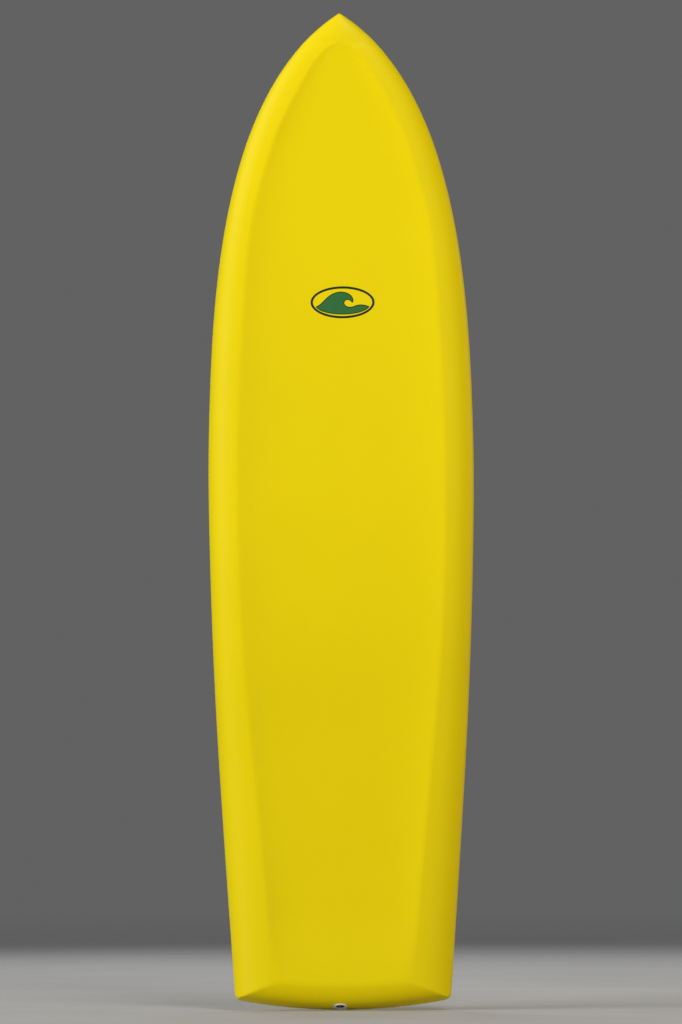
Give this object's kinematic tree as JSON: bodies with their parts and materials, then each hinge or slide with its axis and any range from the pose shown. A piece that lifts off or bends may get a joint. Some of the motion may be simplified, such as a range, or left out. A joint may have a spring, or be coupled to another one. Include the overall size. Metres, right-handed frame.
{
  "type": "surfboard",
  "caption": "Yellow wide-tailed surfboard with a pointed nose, dished deck, bevelled rails, a leash plug in the tail face and removable fins.",
  "frame": {"origin": "middle of the tail edge, where the board stands in a rack", "axes": "+Z from tail to nose, -Y out of the deck, +Y out of the bottom and its fins, +X to the right-hand rail seen from the deck"},
  "size_m": [0.5138, 0.2209, 1.9296],
  "materials": {
    "laminate": "satin",
    "foam": "matte",
    "stringer": "matte",
    "emblem_dark": "satin",
    "emblem_green": "satin",
    "plug": "satin",
    "steel": "satin",
    "fin_box": "satin",
    "fin": "gloss"
  },
  "bodies": {
    "board": {"deck_laminate": "laminate", "bottom_laminate": "laminate", "foam_core_left": "foam", "foam_core_right": "foam", "stringer": "stringer", "emblem_ring": "emblem_dark", "emblem_wave": "emblem_green", "leash_plug_cup": "plug", "leash_plug_pin": "steel", "fin_box_front_left": "fin_box", "fin_box_front_right": "fin_box", "fin_box_rear_left": "fin_box", "fin_box_rear_right": "fin_box"},
    "fin_front_left": {"fin_front_left": "fin"},
    "grub_screw_front_left": {"grub_screw_front_left": "steel"},
    "fin_front_right": {"fin_front_right": "fin"},
    "grub_screw_front_right": {"grub_screw_front_right": "steel"},
    "fin_rear_left": {"fin_rear_left": "fin"},
    "grub_screw_rear_left": {"grub_screw_rear_left": "steel"},
    "fin_rear_right": {"fin_rear_right": "fin"},
    "grub_screw_rear_right": {"grub_screw_rear_right": "steel"}
  },
  "joints": [
    {"name": "fin_front_left_pull", "type": "slide", "parent": "board", "child": "fin_front_left", "axis": [-0.0957, 0.9939, -0.0554], "range_m": [0, 0.024]},
    {"name": "grub_screw_front_left_turn", "type": "hinge", "parent": "board", "child": "grub_screw_front_left", "pos_m": [-0.18705, 0.04297, 0.39828], "axis": [0, 0.9982, -0.0606], "range_deg": [0, 900]},
    {"name": "fin_front_right_pull", "type": "slide", "parent": "board", "child": "fin_front_right", "axis": [0.0957, 0.9939, -0.0554], "range_m": [0, 0.024]},
    {"name": "grub_screw_front_right_turn", "type": "hinge", "parent": "board", "child": "grub_screw_front_right", "pos_m": [0.18705, 0.04297, 0.39828], "axis": [0, 0.9982, -0.0606], "range_deg": [0, 900]},
    {"name": "fin_rear_left_pull", "type": "slide", "parent": "board", "child": "fin_rear_left", "axis": [-0.0697, 0.9935, -0.0896], "range_m": [0, 0.024]},
    {"name": "grub_screw_rear_left_turn", "type": "hinge", "parent": "board", "child": "grub_screw_rear_left", "pos_m": [-0.12003, 0.03356, 0.25222], "axis": [0, 0.9957, -0.0923], "range_deg": [0, 900]},
    {"name": "fin_rear_right_pull", "type": "slide", "parent": "board", "child": "fin_rear_right", "axis": [0.0697, 0.9935, -0.0896], "range_m": [0, 0.024]},
    {"name": "grub_screw_rear_right_turn", "type": "hinge", "parent": "board", "child": "grub_screw_rear_right", "pos_m": [0.12003, 0.03356, 0.25222], "axis": [0, 0.9957, -0.0923], "range_deg": [0, 900]}
  ]
}
